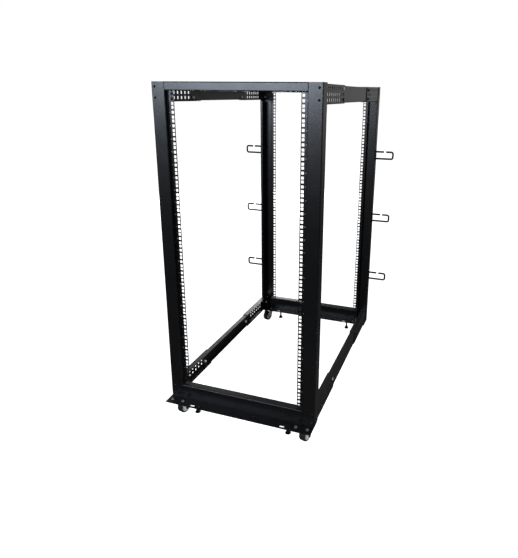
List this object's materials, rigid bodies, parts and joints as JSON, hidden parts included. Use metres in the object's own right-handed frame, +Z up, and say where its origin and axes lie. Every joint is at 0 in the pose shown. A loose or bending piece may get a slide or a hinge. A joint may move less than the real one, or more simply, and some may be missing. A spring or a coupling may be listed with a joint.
{
  "type": "four post open frame equipment rack",
  "caption": "Open four post rack for rack-mounted equipment, with telescoping side rails for depth, square mounting holes, wire cable hooks, swivel casters and levelling feet.",
  "frame": {"origin": "on the floor under the middle of the bounding box at rest", "axes": "+Z up, -Y towards the front, +X to the right seen from the front"},
  "size_m": [0.776, 1.03, 1.2755],
  "materials": {
    "post_coat": "black satin powder coat",
    "beam_coat": "black satin powder coat",
    "plate_coat": "black satin powder coat",
    "sleeve_coat": "black satin powder coat",
    "rail_coat": "black satin powder coat",
    "hook_coat": "black coat on wire",
    "foot_steel": "zinc plated",
    "fork_steel": "zinc plated",
    "hub_plastic": "pale moulded plastic",
    "tyre_rubber": "black tread"
  },
  "bodies": {
    "front_frame": {"front_left_post": "post_coat", "front_right_post": "post_coat", "front_top_beam": "beam_coat", "front_base_beam": "beam_coat", "front_base_plate": "plate_coat", "front_left_top_sleeve": "sleeve_coat", "front_left_base_sleeve": "sleeve_coat", "front_right_top_sleeve": "sleeve_coat", "front_right_base_sleeve": "sleeve_coat"},
    "middle_rails": {"left_top_middle_rail": "rail_coat", "left_base_middle_rail": "rail_coat", "right_top_middle_rail": "rail_coat", "right_base_middle_rail": "rail_coat"},
    "rear_frame": {"rear_left_post": "post_coat", "rear_right_post": "post_coat", "rear_top_beam": "beam_coat", "rear_base_beam": "beam_coat", "rear_base_plate": "plate_coat", "rear_left_top_sleeve": "sleeve_coat", "rear_left_base_sleeve": "sleeve_coat", "rear_right_top_sleeve": "sleeve_coat", "rear_right_base_sleeve": "sleeve_coat", "left_cable_hook_1": "hook_coat", "left_cable_hook_2": "hook_coat", "left_cable_hook_3": "hook_coat", "right_cable_hook_1": "hook_coat", "right_cable_hook_2": "hook_coat", "right_cable_hook_3": "hook_coat"},
    "front_left_foot": {"front_left_levelling_foot": "foot_steel"},
    "front_left_swivel": {"front_left_caster_fork": "fork_steel"},
    "front_left_wheel": {"front_left_caster_hub": "hub_plastic", "front_left_caster_tyre": "tyre_rubber"},
    "front_right_foot": {"front_right_levelling_foot": "foot_steel"},
    "front_right_swivel": {"front_right_caster_fork": "fork_steel"},
    "front_right_wheel": {"front_right_caster_hub": "hub_plastic", "front_right_caster_tyre": "tyre_rubber"},
    "rear_left_foot": {"rear_left_levelling_foot": "foot_steel"},
    "rear_left_swivel": {"rear_left_caster_fork": "fork_steel"},
    "rear_left_wheel": {"rear_left_caster_hub": "hub_plastic", "rear_left_caster_tyre": "tyre_rubber"},
    "rear_right_foot": {"rear_right_levelling_foot": "foot_steel"},
    "rear_right_swivel": {"rear_right_caster_fork": "fork_steel"},
    "rear_right_wheel": {"rear_right_caster_hub": "hub_plastic", "rear_right_caster_tyre": "tyre_rubber"}
  },
  "joints": [
    {"name": "front_depth_slide", "type": "slide", "parent": "front_frame", "child": "middle_rails", "axis": [0, 1, 0], "range_m": [-0.195, 0.005]},
    {"name": "rear_depth_slide", "type": "slide", "parent": "middle_rails", "child": "rear_frame", "axis": [0, 1, 0], "range_m": [-0.195, 0.055]},
    {"name": "front_left_foot_screw", "type": "slide", "parent": "front_frame", "child": "front_left_foot", "axis": [0, 0, 1], "range_m": [-0.012, 0.03]},
    {"name": "front_left_caster_swivel", "type": "hinge", "parent": "front_frame", "child": "front_left_swivel", "pos_m": [-0.2585, -0.4695, 0.068], "axis": [0, 0, 1], "continuous": true},
    {"name": "front_left_wheel_spin", "type": "hinge", "parent": "front_left_swivel", "child": "front_left_wheel", "pos_m": [-0.25488, -0.45598, 0.025], "axis": [0.9659, -0.2588, 0], "continuous": true},
    {"name": "front_right_foot_screw", "type": "slide", "parent": "front_frame", "child": "front_right_foot", "axis": [0, 0, 1], "range_m": [-0.012, 0.03]},
    {"name": "front_right_caster_swivel", "type": "hinge", "parent": "front_frame", "child": "front_right_swivel", "pos_m": [0.2585, -0.4695, 0.068], "axis": [0, 0, 1], "continuous": true},
    {"name": "front_right_wheel_spin", "type": "hinge", "parent": "front_right_swivel", "child": "front_right_wheel", "pos_m": [0.26212, -0.45598, 0.025], "axis": [0.9659, -0.2588, 0], "continuous": true},
    {"name": "rear_left_foot_screw", "type": "slide", "parent": "rear_frame", "child": "rear_left_foot", "axis": [0, 0, 1], "range_m": [-0.012, 0.03]},
    {"name": "rear_left_caster_swivel", "type": "hinge", "parent": "rear_frame", "child": "rear_left_swivel", "pos_m": [-0.2585, 0.4805, 0.068], "axis": [0, 0, 1], "continuous": true},
    {"name": "rear_left_wheel_spin", "type": "hinge", "parent": "rear_left_swivel", "child": "rear_left_wheel", "pos_m": [-0.26212, 0.46698, 0.025], "axis": [0.9659, -0.2588, 0], "continuous": true},
    {"name": "rear_right_foot_screw", "type": "slide", "parent": "rear_frame", "child": "rear_right_foot", "axis": [0, 0, 1], "range_m": [-0.012, 0.03]},
    {"name": "rear_right_caster_swivel", "type": "hinge", "parent": "rear_frame", "child": "rear_right_swivel", "pos_m": [0.2585, 0.4805, 0.068], "axis": [0, 0, 1], "continuous": true},
    {"name": "rear_right_wheel_spin", "type": "hinge", "parent": "rear_right_swivel", "child": "rear_right_wheel", "pos_m": [0.25488, 0.46698, 0.025], "axis": [0.9659, -0.2588, 0], "continuous": true}
  ]
}
